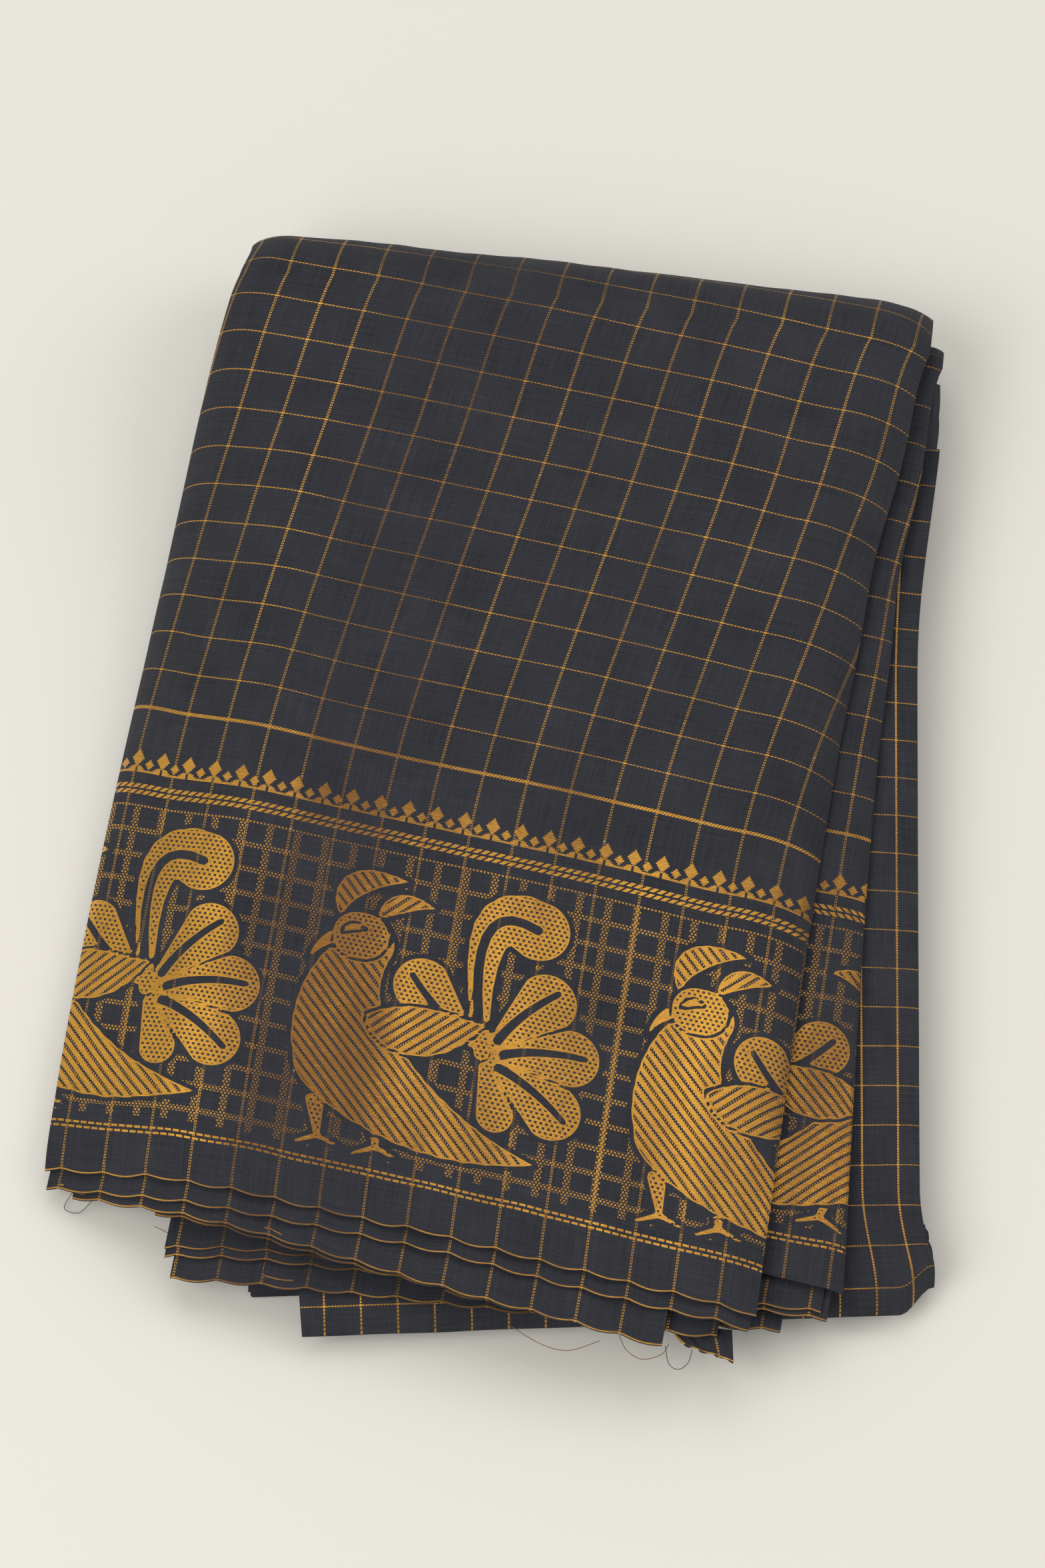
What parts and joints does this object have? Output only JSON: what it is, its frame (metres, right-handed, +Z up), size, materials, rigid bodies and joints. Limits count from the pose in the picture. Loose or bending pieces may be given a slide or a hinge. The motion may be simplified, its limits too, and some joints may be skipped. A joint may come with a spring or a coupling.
{
  "type": "folded saree",
  "caption": "Cotton saree folded into a flat two-half stack with a thick back fold, fanned selvedges and a gold woven border, lying on a surface",
  "frame": {"origin": "centre of the footprint, on the surface that the folded saree lies on", "axes": "+X across the saree, +Y from the loose selvedges towards the thick fold, +Z up"},
  "size_m": [0.2452, 0.3324, 0.04],
  "materials": {
    "saree_cloth": "plain-woven dark cotton with gold metal-thread checks and border",
    "layer_edges": "folded edges of dark cotton with ends of gold thread"
  },
  "bodies": {
    "root": {"front_panel": "saree_cloth", "hidden_layers": "layer_edges", "second_fold": "saree_cloth", "rear_panel": "saree_cloth", "selvedge_leaf_1": "saree_cloth", "selvedge_leaf_2": "saree_cloth", "selvedge_leaf_3": "saree_cloth", "selvedge_leaf_4": "saree_cloth", "selvedge_leaf_5": "saree_cloth", "selvedge_leaf_6": "saree_cloth", "selvedge_leaf_7": "saree_cloth", "turned_corner": "saree_cloth"}
  },
  "joints": []
}
